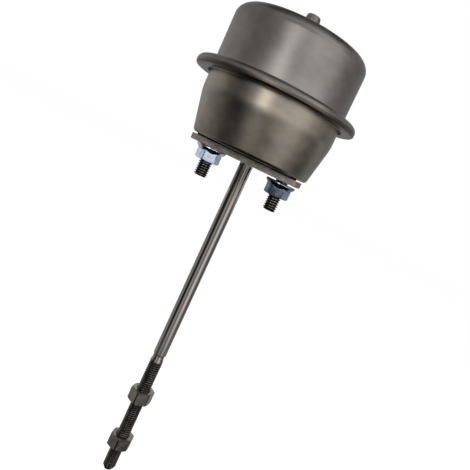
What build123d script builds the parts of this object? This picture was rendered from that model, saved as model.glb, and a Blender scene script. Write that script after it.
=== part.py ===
"""Wastegate actuator: a crimped steel diaphragm can with a polished push rod, two mounting studs and adjusting nuts.

The origin is on the rod's axis at the underside of the mounting plate. +Z points up through the can to the
pressure spigot, and the rod hangs down along -Z. The two studs stand on the X axis. All sizes are millimetres.
"""

from build123d import *
import os
from math import cos, radians, sin, tan

os.makedirs("parts", exist_ok=True)

# Pressed housings
sheet = 1.2  # steel of both housings
floor_room = 5.0  # from the stud plate to the virtual edge of the can's floor
can_top_z = 77.8  # crown of the upper housing, outside
can_corner_r = 7.0  # outside radius between the wall and the crown
crown_angle = 2.9  # degrees of slope where the shallow crown meets its corner
cup_taper = 4.5  # how much narrower the lower housing is at its floor, before the corner is rounded
cup_corner_r = 2.3
cup_shoulder_z = 27.6  # where the taper meets the straight wall
cup_shoulder_r = 28.0
rim_reach = 8.7  # how far the rolled joint between the housings stands out from the wall
rim_bottom_z = 37.8
rim_height = 5.5
rim_upper_r = 3.2  # outside radius of the roll at its top
rim_lower_r = 1.3  # and where the hem turns under
rim_fillet_r = 1.8  # inside corner between the wall and the top of the rim
cup_fillet_r = 1.4  # the same under the rim
hem_width = 7.1  # how far the hem is folded in under the rim
flange_gap = 0.4  # from the lower housing's flange to the inside of the roll

# Mounting plate with its gasket
plate_end_margin = 9.5  # from a stud's axis to the plate's end
plate_width = 28.0
plate_thickness = 3.4
plate_corner_r = 0.5
gasket_thickness = 0.8
gasket_end_inset = 3.5
gasket_side_inset = 1.5
gasket_corner_r = 2.0

# Studs, 5/16-18 thread as a plain cylinder of its outside diameter
stud_spacing = 45.0
thread_r = 3.93
stud_reach_left = 17.6  # how far each stud stands below the plate
stud_reach_right = 18.2
stud_end_chamfer = 0.7
stud_head_r = 6.2
stud_head_height = 1.8
stud_seat_depth = 2.0  # recess for the head in the stud plate
stud_hole_clearance = 0.2
press_clearance = 0.03

# Flange nuts on the studs and plain nuts on the rod, for the same thread
nut_across_flats = 13.0
nut_bore_clearance = 0.05
nut_bore_chamfer = 0.5
nut_chamfer_angle = 30.0
nut_cut_margin = 1.0  # how far the chamfers' cutting cones reach past the corners
flange_nut_height = 8.4
flange_r = 8.85
flange_edge = 1.1  # height of the flange's rim
flange_bevel = 0.3  # on the flange's top edge
flange_cone_end = 3.6  # height at which the cone reaches the flats
flange_cone_sink = 0.2  # how far the cone's end lies inside the flats
nut_gap_right = 1.0  # the right nut is backed off the plate by this much
nut_turn_left = 24.0  # degrees from +X to a corner of the hexagon
nut_turn_right = 6.0
rod_nut_height = 8.3
rod_nut_upper_z = -150.4  # top face of each nut
rod_nut_lower_z = -183.2
rod_nut_upper_turn = 26.0
rod_nut_lower_turn = 35.0

# Stud plate inside the can
stud_plate_edge = 1.3  # left outside the recess for a stud's head
stud_plate_thickness = 3.0

# Push rod
rod_r = 3.97
rod_tip_z = -208.0
rod_tip_chamfer = 1.4
rod_tip_chamfer_height = 2.2
neck_r = 3.44
neck_top_z = -125.4
neck_bottom_z = -130.2
neck_upper_taper = 0.7  # length of the cone at each end of the neck
neck_lower_taper = 2.2
rod_end_step = 0.97  # the end that the piston is staked on is smaller by this much in radius
stake_spread = 1.9  # the staked head is wider than that end by this much in radius
stake_bevel = 0.9
stake_height = 0.8
stake_gap = 0.4  # from the staked head to the spigot's stub above it

# Guide bush, seal and travel stop
bush_clearance = 0.05
bush_hole_clearance = 0.2
bush_wall = 3.0
bush_flange_width = 4.0
bush_edge = 0.5  # chamfer on the bush's ends
bush_flange_thickness = 2.0
bush_top_z = 17.0
bush_inset = 0.4  # the bush and retainer end this far inside the plate
seal_pocket_step = 1.6  # the seal's pocket is wider than the bush's bore by this much in radius
seal_pocket_depth = 4.0
seal_lip_clearance = 0.05
seal_gap = 0.05
seal_lip = 0.5  # bevel of the seal's two lips
retainer_thickness = 0.9
retainer_clearance = 0.53
sleeve_wall = 1.4
sleeve_clearance = 0.1
travel = 20.0  # stroke of the rod
stop_gap = 0.3  # left between stop faces at each end of the stroke

# Spring and its seat
wire_r = 2.1
spring_mean_r = 22.0
spring_turns = 7.0
spring_end_gap = 0.05
seat_sheet = 1.0
seat_inner_gap = 2.0  # between the bush's flange and the seat
seat_lip_height = 4.0
seat_spring_clearance = 0.6

# Piston, diaphragm and the plate above it
piston_sheet = 1.5
convolution_width = 4.9  # room between the piston's skirt and the housing for the diaphragm's loop
piston_skirt_length = 34.0
piston_corner_r = 3.0
washer_r = 8.6
washer_thickness = 2.5
diaphragm_sheet = 1.0
diaphragm_gap = 0.1  # between the diaphragm and the piston's skirt
loop_drop = 3.2  # straight part of the diaphragm above its rolled loop
loop_flat = 0.05  # half the short flat between the loop's two bends
bead_gap = 0.1  # between the diaphragm's bead and the start of the roll's round top
cover_plate_inset = 5.4  # its edge lies this far inside the piston's skirt
cover_plate_sheet = 1.2
cover_plate_corner_r = 1.0

# Pressure spigot in the crown
spigot_tube_r = 4.4
spigot_taper = 0.55  # the spigot's tip is smaller by this much in radius
spigot_lead = 3.4  # height of the tapered lead-in
spigot_tip_round = 1.1
spigot_top_z = 88.6
spigot_wall = 2.0
spigot_collar_width = 3.1
spigot_collar_edge = 0.6
spigot_collar_height = 2.0
spigot_stub = 0.4  # reach below the inside of the crown

# Sizes and places worked out from those above
stud_plate_r = stud_spacing / 2 + stud_head_r + stud_plate_edge
cup_floor_r = stud_plate_r + floor_room
can_outer_r = cup_floor_r + cup_taper  # straight wall of both housings
rim_outer_r = can_outer_r + rim_reach
hem_inner_r = rim_outer_r - hem_width
plate_length = stud_spacing + 2 * plate_end_margin
gasket_length = plate_length - 2 * gasket_end_inset
gasket_width = plate_width - 2 * gasket_side_inset
bush_bore_r = rod_r + bush_clearance
bush_r = bush_bore_r + bush_wall
bush_flange_r = bush_r + bush_flange_width
bush_hole_r = bush_r + bush_hole_clearance
seal_pocket_r = bush_bore_r + seal_pocket_step
retainer_bore_r = rod_r + retainer_clearance
seat_inner_r = bush_flange_r + seat_inner_gap
piston_skirt_r = can_outer_r - sheet - convolution_width
cover_plate_r = piston_skirt_r - cover_plate_inset
rod_end_r = rod_r - rod_end_step
stake_r = rod_end_r + stake_spread
spigot_tip_r = spigot_tube_r - spigot_taper
spigot_bore_r = spigot_tube_r - spigot_wall
spigot_collar_r = spigot_tube_r + spigot_collar_width
spigot_stub_z = can_top_z - sheet - spigot_stub
piston_top_z = spigot_stub_z - stake_gap - stake_height - cover_plate_sheet - diaphragm_sheet
cup_floor_z = plate_thickness + gasket_thickness
floor_inside_z = cup_floor_z + sheet
stud_plate_top_z = floor_inside_z + stud_plate_thickness
bush_flange_top_z = stud_plate_top_z + bush_flange_thickness
rim_top_z = rim_bottom_z + rim_height
hem_top_z = rim_bottom_z + sheet
flange_nest_r = rim_outer_r - sheet - flange_gap
bead_r = rim_outer_r - rim_upper_r - bead_gap  # the diaphragm's edge, inside the roll's round top
diaphragm_rim_z = hem_top_z + sheet
diaphragm_rim_top_z = rim_top_z - sheet
washer_bottom_z = piston_top_z - piston_sheet - washer_thickness
diaphragm_top_z = piston_top_z + diaphragm_sheet
cover_plate_top_z = diaphragm_top_z + cover_plate_sheet
hole_r = thread_r + stud_hole_clearance
nut_corner_r = nut_across_flats / 2 / cos(radians(30))


def section(path_points, radii, thickness):
    """A strip of even thickness along a path with rounded corners, on the XZ plane."""
    with BuildSketch(Plane.XZ) as strip:
        with BuildLine():
            FilletPolyline(*path_points, radius=radii)
        trace(line_width=thickness)
    return strip.sketch


def turned(*points):
    """A closed outline of straight lines on the XZ plane, for turned pieces."""
    with BuildSketch(Plane.XZ) as outline:
        with BuildLine():
            Polyline(*points, close=True)
        make_face()
    return outline.sketch


# Lower housing: drawn cup with a tapered wall and an outward flange, pierced for the bush and the studs
mid = sheet / 2
taper = (can_outer_r - cup_floor_r) / (cup_shoulder_z - cup_floor_z)
with BuildPart() as lower_housing:
    add(
        section(
            [
                (bush_hole_r, cup_floor_z + mid),
                (cup_floor_r - mid * (1 - taper), cup_floor_z + mid),
                (can_outer_r - mid, cup_shoulder_z),
                (can_outer_r - mid, hem_top_z + mid),
                (flange_nest_r, hem_top_z + mid),
            ],
            [cup_corner_r - mid, cup_shoulder_r - mid, cup_fillet_r + mid],
            sheet,
        )
    )
    revolve(axis=Axis.Z)
    with BuildSketch(Plane.XY.offset(cup_floor_z)):
        with GridLocations(stud_spacing, 1, 2, 1):
            Circle(hole_r)
    extrude(amount=sheet, mode=Mode.SUBTRACT)
lower_housing.part.label = "lower_housing"
export_step(lower_housing.part, "parts/lower_housing.step")

# Upper housing: drawn cup whose flange is rolled round the lower one, with a shallow crown
crown_r1 = can_outer_r - can_corner_r * (1 - sin(radians(crown_angle)))
crown_r = crown_r1 / sin(radians(crown_angle))
corner_drop = crown_r * (1 - cos(radians(crown_angle))) + can_corner_r * cos(radians(crown_angle))
with BuildPart() as upper_housing:
    with BuildSketch(Plane.XZ):
        with BuildLine():
            rim_line = FilletPolyline(
                (hem_inner_r, rim_bottom_z + mid),
                (rim_outer_r - mid, rim_bottom_z + mid),
                (rim_outer_r - mid, rim_top_z - mid),
                (can_outer_r - mid, rim_top_z - mid),
                (can_outer_r - mid, can_top_z - corner_drop),
                radius=[rim_lower_r - mid, rim_upper_r - mid, rim_fillet_r + mid],
            )
            corner = JernArc(rim_line @ 1, (0, 1), can_corner_r - mid, 90 - crown_angle)
            crown = JernArc(corner @ 1, corner % 1, crown_r - mid, crown_angle)
        trace(line_width=sheet)
    revolve(axis=Axis.Z)
    with BuildSketch(Plane.XY.offset(can_top_z - 2 * sheet)):
        Circle(spigot_tube_r + press_clearance)
    extrude(amount=3 * sheet, mode=Mode.SUBTRACT)
upper_housing.part.label = "upper_housing"
export_step(upper_housing.part, "parts/upper_housing.step")

# Pressure spigot: turned hose spigot with a tapered lead, a collar on the crown and a through bore
crown_at_collar = can_top_z - (crown_r - (crown_r**2 - spigot_collar_r**2) ** 0.5)
with BuildPart() as pressure_spigot:
    add(
        turned(
            (spigot_bore_r, spigot_stub_z),
            (spigot_tube_r, spigot_stub_z),
            (spigot_tube_r, can_top_z),
            (spigot_collar_r, crown_at_collar),
            (spigot_collar_r, can_top_z + spigot_collar_height - spigot_collar_edge),
            (spigot_collar_r - spigot_collar_edge, can_top_z + spigot_collar_height),
            (spigot_tube_r, can_top_z + spigot_collar_height),
            (spigot_tube_r, spigot_top_z - spigot_lead),
            (spigot_tip_r, spigot_top_z),
            (spigot_bore_r, spigot_top_z),
        )
    )
    revolve(axis=Axis.Z)
    fillet(
        pressure_spigot.edges().filter_by(GeomType.CIRCLE).group_by(Axis.Z)[-1].sort_by(SortBy.RADIUS)[-1],
        min(spigot_tip_round, 0.8 * (spigot_tip_r - spigot_bore_r)),
    )
pressure_spigot.part.label = "pressure_spigot"
export_step(pressure_spigot.part, "parts/pressure_spigot.step")

# Mounting plate and its gasket, both pierced for the bush and the studs
with BuildPart() as mounting_plate:
    with BuildSketch():
        RectangleRounded(plate_length, plate_width, plate_corner_r)
        Circle(bush_hole_r, mode=Mode.SUBTRACT)
        with GridLocations(stud_spacing, 1, 2, 1):
            Circle(hole_r, mode=Mode.SUBTRACT)
    extrude(amount=plate_thickness)
mounting_plate.part.label = "mounting_plate"
export_step(mounting_plate.part, "parts/mounting_plate.step")

with BuildPart() as plate_gasket:
    with BuildSketch(Plane.XY.offset(plate_thickness)):
        RectangleRounded(gasket_length, gasket_width, gasket_corner_r)
        Circle(bush_hole_r, mode=Mode.SUBTRACT)
        with GridLocations(stud_spacing, 1, 2, 1):
            Circle(hole_r, mode=Mode.SUBTRACT)
    extrude(amount=gasket_thickness)
plate_gasket.part.label = "plate_gasket"
export_step(plate_gasket.part, "parts/plate_gasket.step")

# Stud plate: stiffening disc on the can's floor, recessed for the stud heads
with BuildPart() as stud_plate:
    with BuildSketch(Plane.XY.offset(floor_inside_z)):
        Circle(stud_plate_r)
        Circle(bush_hole_r, mode=Mode.SUBTRACT)
        with GridLocations(stud_spacing, 1, 2, 1):
            Circle(thread_r + press_clearance, mode=Mode.SUBTRACT)
    extrude(amount=stud_plate_thickness)
    with BuildSketch(Plane.XY.offset(stud_plate_top_z)):
        with GridLocations(stud_spacing, 1, 2, 1):
            Circle(stud_head_r + press_clearance)
    extrude(amount=-stud_seat_depth, mode=Mode.SUBTRACT)
stud_plate.part.label = "stud_plate"
export_step(stud_plate.part, "parts/stud_plate.step")

# Studs: headed, passing down through the stud plate, the can's floor, the gasket and the mounting plate
head_bottom_z = stud_plate_top_z - stud_seat_depth
for side, name, reach in ((-1, "stud_left", stud_reach_left), (1, "stud_right", stud_reach_right)):
    axis_plane = Plane.XY.offset(-reach).move(Location((side * stud_spacing / 2, 0, 0)))
    head_plane = Plane.XY.offset(head_bottom_z).move(Location((side * stud_spacing / 2, 0, 0)))
    with BuildPart() as stud:
        with BuildSketch(axis_plane):
            Circle(thread_r)
        extrude(amount=reach + head_bottom_z)
        chamfer(stud.faces().sort_by(Axis.Z)[0].edges(), stud_end_chamfer)
        with BuildSketch(head_plane):
            Circle(stud_head_r)
        extrude(amount=stud_head_height)
    stud.part.label = name
    export_step(stud.part, f"parts/{name}.step")


def hex_nut(top_z, height, turn, x, both_ends):
    """A hexagonal prism below top_z, its corners cut back by cones at the bottom or at both ends."""
    bottom = Plane.XY.offset(top_z - height).move(Location((x, 0, 0)))
    side_plane = Plane.XZ.move(Location((x, 0, 0)))
    cut = (nut_corner_r - nut_across_flats / 2) * tan(radians(nut_chamfer_angle))
    flat_r = nut_across_flats / 2
    cut_r = nut_corner_r + nut_cut_margin
    cut_height = cut * (cut_r - flat_r) / (nut_corner_r - flat_r)
    upper_r = flat_r if both_ends else cut_r
    with BuildPart() as nut:
        with BuildSketch(bottom):
            RegularPolygon(nut_corner_r, 6, rotation=turn)
        extrude(amount=height)
        with BuildSketch(side_plane):
            with BuildLine():
                Polyline(
                    (0, top_z - height),
                    (flat_r, top_z - height),
                    (cut_r, top_z - height + cut_height),
                    (cut_r, top_z - cut_height),
                    (upper_r, top_z),
                    (0, top_z),
                    close=True,
                )
            make_face()
        revolve(axis=Axis((x, 0, 0), (0, 0, 1)), mode=Mode.INTERSECT)
    return nut.part


def flange_nut(top_z, turn, x):
    """A hexagon flange nut, flange uppermost, its cone running down into the flats."""
    side_plane = Plane.XZ.move(Location((x, 0, 0)))
    bore = thread_r + nut_bore_clearance
    with BuildPart() as nut:
        add(hex_nut(top_z, flange_nut_height, turn, x, both_ends=False))
        with BuildSketch(side_plane):
            with BuildLine():
                Polyline(
                    (0, top_z),
                    (flange_r - flange_bevel, top_z),
                    (flange_r, top_z - flange_bevel),
                    (flange_r, top_z - flange_edge),
                    (nut_across_flats / 2 - flange_cone_sink, top_z - flange_cone_end),
                    (0, top_z - flange_cone_end),
                    close=True,
                )
            make_face()
        revolve(axis=Axis((x, 0, 0), (0, 0, 1)))
        with Locations((x, 0, top_z)):
            Hole(bore)
        ends = nut.edges().filter_by(GeomType.CIRCLE).filter_by(lambda e: abs(e.radius - bore) < 1e-4)
        chamfer(ends, nut_bore_chamfer)
    return nut.part


nut_left = flange_nut(0, nut_turn_left, -stud_spacing / 2)
nut_left.label = "flange_nut_left"
export_step(nut_left, "parts/flange_nut_left.step")
nut_right = flange_nut(-nut_gap_right, nut_turn_right, stud_spacing / 2)
nut_right.label = "flange_nut_right"
export_step(nut_right, "parts/flange_nut_right.step")

# Adjusting nuts on the rod's thread
for name, top_z, turn in (
    ("rod_nut_upper", rod_nut_upper_z, rod_nut_upper_turn),
    ("rod_nut_lower", rod_nut_lower_z, rod_nut_lower_turn),
):
    bore = thread_r + nut_bore_clearance
    with BuildPart() as rod_nut:
        add(hex_nut(top_z, rod_nut_height, turn, 0, both_ends=True))
        with Locations((0, 0, top_z)):
            Hole(bore)
        ends = rod_nut.edges().filter_by(GeomType.CIRCLE).filter_by(lambda e: abs(e.radius - bore) < 1e-4)
        chamfer(ends, nut_bore_chamfer)
    rod_nut.part.label = name
    export_step(rod_nut.part, f"parts/{name}.step")

# Guide bush: flanged, resting on the stud plate, with a pocket for the rod seal at its lower end
pocket_top_z = bush_inset + seal_pocket_depth
with BuildPart() as guide_bush:
    add(
        turned(
            (bush_bore_r, pocket_top_z),
            (seal_pocket_r, pocket_top_z),
            (seal_pocket_r, bush_inset),
            (bush_r - bush_edge, bush_inset),
            (bush_r, bush_inset + bush_edge),
            (bush_r, stud_plate_top_z),
            (bush_flange_r, stud_plate_top_z),
            (bush_flange_r, bush_flange_top_z),
            (bush_r, bush_flange_top_z),
            (bush_r, bush_top_z - bush_edge),
            (bush_r - bush_edge, bush_top_z),
            (bush_bore_r + bush_edge, bush_top_z),
            (bush_bore_r, bush_top_z - bush_edge),
        )
    )
    revolve(axis=Axis.Z)
guide_bush.part.label = "guide_bush"
export_step(guide_bush.part, "parts/guide_bush.step")

retainer_top_z = bush_inset + retainer_thickness
with BuildPart() as rod_seal:
    add(
        turned(
            (rod_r + seal_lip_clearance, retainer_top_z + seal_gap + seal_lip),
            (rod_r + seal_lip_clearance + seal_lip, retainer_top_z + seal_gap),
            (seal_pocket_r - seal_gap, retainer_top_z + seal_gap),
            (seal_pocket_r - seal_gap, pocket_top_z - seal_gap),
            (rod_r + seal_lip_clearance + seal_lip, pocket_top_z - seal_gap),
            (rod_r + seal_lip_clearance, pocket_top_z - seal_gap - seal_lip),
        )
    )
    revolve(axis=Axis.Z)
rod_seal.part.label = "rod_seal"
export_step(rod_seal.part, "parts/rod_seal.step")

with BuildPart() as seal_retainer:
    with BuildSketch(Plane.XY.offset(bush_inset)):
        Circle(seal_pocket_r - press_clearance)
        Circle(retainer_bore_r, mode=Mode.SUBTRACT)
    extrude(amount=retainer_thickness)
seal_retainer.part.label = "seal_retainer"
export_step(seal_retainer.part, "parts/seal_retainer.step")

# Travel stop: tube on the bush's flange that the piston's washer meets at full stroke
with BuildPart() as stop_sleeve:
    with BuildSketch(Plane.XY.offset(bush_flange_top_z)):
        Circle(bush_r + sleeve_clearance + sleeve_wall)
        Circle(bush_r + sleeve_clearance, mode=Mode.SUBTRACT)
    extrude(amount=washer_bottom_z - travel - stop_gap - bush_flange_top_z)
stop_sleeve.part.label = "stop_sleeve"
export_step(stop_sleeve.part, "parts/stop_sleeve.step")

# Lower spring seat: ring with an upturned lip round the spring
seat_outer_r = spring_mean_r + wire_r + seat_spring_clearance + seat_sheet / 2
with BuildPart() as spring_seat:
    add(
        section(
            [
                (seat_inner_r, stud_plate_top_z + seat_sheet / 2),
                (seat_outer_r, stud_plate_top_z + seat_sheet / 2),
                (seat_outer_r, stud_plate_top_z + seat_lip_height),
            ],
            [seat_sheet],
            seat_sheet,
        )
    )
    revolve(axis=Axis.Z)
spring_seat.part.label = "spring_seat"
export_step(spring_seat.part, "parts/spring_seat.step")

# Spring: round wire with ground ends, between the seat and the piston
spring_bottom_z = stud_plate_top_z + seat_sheet + spring_end_gap
spring_top_z = piston_top_z - piston_sheet - spring_end_gap
spring_height = spring_top_z - spring_bottom_z
spring_pitch = spring_height / spring_turns
with BuildPart() as spring:
    with BuildLine():
        coil = Helix(spring_pitch, spring_height, spring_mean_r, center=(0, 0, spring_bottom_z))
    with BuildSketch(Plane(origin=coil @ 0, z_dir=coil % 0)):
        Circle(wire_r)
    sweep(path=coil, is_frenet=True)
    with BuildSketch(Plane.XY.offset(spring_bottom_z)):
        Circle(spring_mean_r + 2 * wire_r)
    extrude(amount=spring_height, mode=Mode.INTERSECT)
spring.part.label = "spring"
export_step(spring.part, "parts/spring.step")

# Push rod: polished shank, reduced neck, threaded end, and a staked end above the shoulder
with BuildPart() as push_rod:
    add(
        turned(
            (0, rod_tip_z),
            (thread_r - rod_tip_chamfer, rod_tip_z),
            (thread_r, rod_tip_z + rod_tip_chamfer_height),
            (thread_r, neck_bottom_z),
            (neck_r, neck_bottom_z + neck_lower_taper),
            (neck_r, neck_top_z - neck_upper_taper),
            (rod_r, neck_top_z),
            (rod_r, washer_bottom_z),
            (rod_end_r, washer_bottom_z),
            (rod_end_r, cover_plate_top_z),
            (stake_r, cover_plate_top_z),
            (stake_r - stake_bevel, cover_plate_top_z + stake_height),
            (0, cover_plate_top_z + stake_height),
        )
    )
    revolve(axis=Axis.Z)
push_rod.part.label = "push_rod"
export_step(push_rod.part, "parts/push_rod.step")

# Washer between the rod's shoulder and the piston
with BuildPart() as piston_washer:
    with BuildSketch(Plane.XY.offset(washer_bottom_z)):
        Circle(washer_r)
        Circle(rod_end_r + press_clearance, mode=Mode.SUBTRACT)
    extrude(amount=washer_thickness)
piston_washer.part.label = "piston_washer"
export_step(piston_washer.part, "parts/piston_washer.step")

# Piston: pressed cup, open downwards, that carries the spring's upper end
with BuildPart() as piston:
    add(
        section(
            [
                (rod_end_r + press_clearance, piston_top_z - piston_sheet / 2),
                (piston_skirt_r - piston_sheet / 2, piston_top_z - piston_sheet / 2),
                (piston_skirt_r - piston_sheet / 2, piston_top_z - piston_skirt_length),
            ],
            [piston_corner_r],
            piston_sheet,
        )
    )
    revolve(axis=Axis.Z)
piston.part.label = "piston"
export_step(piston.part, "parts/piston.step")

# Diaphragm: flat over the piston, down its skirt, round the loop and out to the bead held in the rim
leg_r = piston_skirt_r + diaphragm_gap + diaphragm_sheet / 2
outer_leg_r = can_outer_r - sheet - diaphragm_gap - diaphragm_sheet / 2
loop_r = (outer_leg_r - leg_r) / 2
loop_bottom_z = diaphragm_rim_z - loop_drop - loop_r
with BuildPart() as diaphragm:
    with BuildSketch(Plane.XZ):
        with BuildLine():
            FilletPolyline(
                (rod_end_r + press_clearance, piston_top_z + diaphragm_sheet / 2),
                (leg_r, piston_top_z + diaphragm_sheet / 2),
                (leg_r, loop_bottom_z),
                (outer_leg_r, loop_bottom_z),
                (outer_leg_r, diaphragm_rim_z + diaphragm_sheet / 2),
                (bead_r, diaphragm_rim_z + diaphragm_sheet / 2),
                radius=[
                    piston_corner_r + piston_sheet / 2 + diaphragm_gap + diaphragm_sheet / 2,
                    loop_r - loop_flat,
                    loop_r - loop_flat,
                    cup_fillet_r,
                ],
            )
        trace(line_width=diaphragm_sheet)
        with BuildLine():
            Polyline(
                (can_outer_r + cup_fillet_r, diaphragm_rim_z),
                (bead_r, diaphragm_rim_z),
                (bead_r, diaphragm_rim_top_z),
                (can_outer_r + cup_fillet_r, diaphragm_rim_top_z),
                close=True,
            )
        make_face()
    revolve(axis=Axis.Z)
diaphragm.part.label = "diaphragm"
export_step(diaphragm.part, "parts/diaphragm.step")

# Cover plate above the diaphragm, its edge turned up to meet the crown at rest
crown_inside_at_lip = can_top_z - sheet - (crown_r - (crown_r**2 - cover_plate_r**2) ** 0.5)
with BuildPart() as cover_plate:
    add(
        section(
            [
                (rod_end_r + press_clearance, diaphragm_top_z + cover_plate_sheet / 2),
                (cover_plate_r - cover_plate_sheet / 2, diaphragm_top_z + cover_plate_sheet / 2),
                (cover_plate_r - cover_plate_sheet / 2, crown_inside_at_lip - stop_gap),
            ],
            [cover_plate_corner_r],
            cover_plate_sheet,
        )
    )
    revolve(axis=Axis.Z)
cover_plate.part.label = "cover_plate"
export_step(cover_plate.part, "parts/cover_plate.step")
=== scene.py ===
"""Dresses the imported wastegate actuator: housings with a rolled seam, cut threads, nuts and metal finishes.

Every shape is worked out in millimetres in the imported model's own frame, with the origin on the push rod's
axis at the underside of the mounting plate and +Z up through the can, and is turned to metres on its way into
a mesh.
"""

from __future__ import annotations

import logging
import math
from dataclasses import dataclass
from enum import Enum

import bmesh
import bpy
import numpy as np
from bpy.types import Material, Node, NodeTree, Object
from mathutils import Matrix, Vector


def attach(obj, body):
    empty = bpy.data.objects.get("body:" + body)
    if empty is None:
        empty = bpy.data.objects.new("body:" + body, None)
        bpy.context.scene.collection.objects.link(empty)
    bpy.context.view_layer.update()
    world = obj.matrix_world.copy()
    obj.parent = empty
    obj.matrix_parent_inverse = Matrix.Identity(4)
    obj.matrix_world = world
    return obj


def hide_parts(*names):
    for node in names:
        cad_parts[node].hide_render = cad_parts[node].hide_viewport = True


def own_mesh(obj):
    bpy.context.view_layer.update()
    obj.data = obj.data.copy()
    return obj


log = logging.getLogger("actuator")

MM = 0.001
MERGE_METRES = 1e-7
TURN = 2.0 * math.pi
PHOTO_PIXELS = 470
SENSOR_MM = 36.0
WHITE = "ffffff"
THREAD_PITCH = 1.411
THREAD_CREST_R = 3.93
THREAD_SEGMENTS = 56
THREAD_ROWS_PER_TURN = 12
HELIX_SHARP_DEGREES = 50.0
STUD_X = 22.5


class Body(Enum):
    """The moving bodies of the actuator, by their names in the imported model."""

    CAN = "can"
    ROD = "rod"
    UPPER_NUT = "upper_nut"
    LOWER_NUT = "lower_nut"


class Slot(Enum):
    """The record's material slots, by name."""

    HOUSING = "housing_steel"
    THREAD = "thread_steel"
    ZINC = "zinc_steel"
    ROD = "rod_steel"
    NUT = "nut_steel"
    SPRING = "spring_steel"
    RUBBER = "seal_rubber"
    GASKET = "gasket_rubber"


# Colour and nodes


def linear(hex_code: str) -> tuple[float, float, float, float]:
    """Turns an sRGB hex colour to linear light.

    Args:
        hex_code: six hexadecimal digits, such as "8a8580".

    Returns:
        Red, green, blue and an alpha of 1.
    """
    channels = np.array([int(hex_code[i : i + 2], 16) for i in (0, 2, 4)]) / 255.0
    low = channels / 12.92
    high = ((channels + 0.055) / 1.055) ** 2.4
    red, green, blue = np.where(channels <= 0.04045, low, high)
    return float(red), float(green), float(blue), 1.0


def add_node(
    tree: NodeTree,
    kind: str,
    links: dict | None = None,
    values: dict | None = None,
    stops: list[tuple[float, str]] | None = None,
    **settings: object,
) -> Node:
    """Adds one node with its settings, socket values, incoming links and, for a ramp, its stops.

    Args:
        tree: the node tree that gets the node.
        kind: the node's type name after "ShaderNode".
        links: input socket to what feeds it, an output socket or a node for its first output.
        values: input socket to its constant.
        stops: a ramp's (position, sRGB hex) pairs in rising order.
        settings: attributes of the node itself.

    Returns:
        The new node.
    """
    node = tree.nodes.new(f"ShaderNode{kind}")
    for name, value in settings.items():
        setattr(node, name, value)
    for socket, value in (values or {}).items():
        node.inputs[socket].default_value = value
    for socket, source in (links or {}).items():
        output = source.outputs[0] if isinstance(source, Node) else source
        tree.links.new(output, node.inputs[socket])
    if stops:
        elements = node.color_ramp.elements
        while len(elements) < len(stops):
            elements.new(0.5)
        for element, (position, colour) in zip(elements, stops):
            element.position = position
            element.color = linear(colour)
    return node


def add_grain(tree: NodeTree, per_mm: tuple[float, float, float], detail: float = 4.0) -> Node:
    """Adds a noise pattern on Object coordinates.

    Args:
        tree: the node tree.
        per_mm: features in a millimetre along X, Y and Z; few of them along an axis draw streaks along it.
        detail: octaves of the noise.

    Returns:
        The node whose first output is the pattern's factor.
    """
    coordinates = add_node(tree, "TexCoord")
    scale = tuple(count / MM for count in per_mm)
    spot = add_node(tree, "Mapping", {"Vector": coordinates.outputs["Object"]}, {"Scale": scale})
    return add_node(tree, "TexNoise", {"Vector": spot}, {"Scale": 1.0, "Detail": detail, "Roughness": 0.55})


def add_reach(tree: NodeTree, axis_x_mm: float, low_mm: float, high_mm: float) -> Node:
    """Adds a pattern that follows the distance from a vertical axis.

    Args:
        tree: the node tree.
        axis_x_mm: the axis's place along X.
        low_mm: radius where the factor is 0.
        high_mm: radius where it is 1.

    Returns:
        The node whose first output is the pattern's factor.
    """
    coordinates = add_node(tree, "TexCoord")
    flat = {"Location": (-axis_x_mm * MM, 0.0, 0.0), "Scale": (1.0, 1.0, 0.0)}
    spot = add_node(tree, "Mapping", {"Vector": coordinates.outputs["Object"]}, flat)
    reach = add_node(tree, "VectorMath", {0: spot}, operation="LENGTH")
    limits = {"From Min": low_mm * MM, "From Max": high_mm * MM, "To Min": 0.0, "To Max": 1.0}
    return add_node(tree, "MapRange", {"Value": reach.outputs["Value"]}, limits)


class Surface:
    """A material in the making and its empty tree, which every finish fills and closes."""

    def __init__(self, name: str) -> None:
        """Makes the material with an empty tree."""
        self.material = bpy.data.materials.new(name)
        self.material.use_nodes = True
        self.tree = self.material.node_tree
        self.tree.nodes.clear()

    def close(self, look: Node) -> Material:
        """Ends the tree with an output fed by the look's first output. Returns: the material."""
        add_node(self.tree, "OutputMaterial", {"Surface": look})
        return self.material

    def shade(
        self,
        colour: Node,
        gloss: Node,
        rough: tuple[float, float],
        relief: Node | None = None,
        depth_mm: float = 0.0,
        strength: float = 0.0,
        metallic: float = 1.0,
    ) -> Material:
        """Shades the surface by a colour, a roughness and a relief.

        Args:
            colour: the base colour.
            gloss: the factor that the roughness follows; noise lies between 0.3 and 0.7 almost everywhere.
            rough: roughness at those two ends.
            relief: the relief's height between 0 and 1, where there is one.
            depth_mm: depth of the relief.
            strength: strength of the relief.
            metallic: 1 for bare metal, 0 for all else.

        Returns:
            The material.
        """
        spread = {"From Min": 0.3, "From Max": 0.7, "To Min": rough[0], "To Max": rough[1]}
        links = {"Base Color": colour, "Roughness": add_node(self.tree, "MapRange", {"Value": gloss}, spread)}
        if relief is not None:
            depth = {"Strength": strength, "Distance": depth_mm * MM}
            links["Normal"] = add_node(self.tree, "Bump", {"Height": relief}, depth)
        return self.close(add_node(self.tree, "BsdfPrincipled", links, {"Metallic": metallic}))


# Finishes


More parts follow.
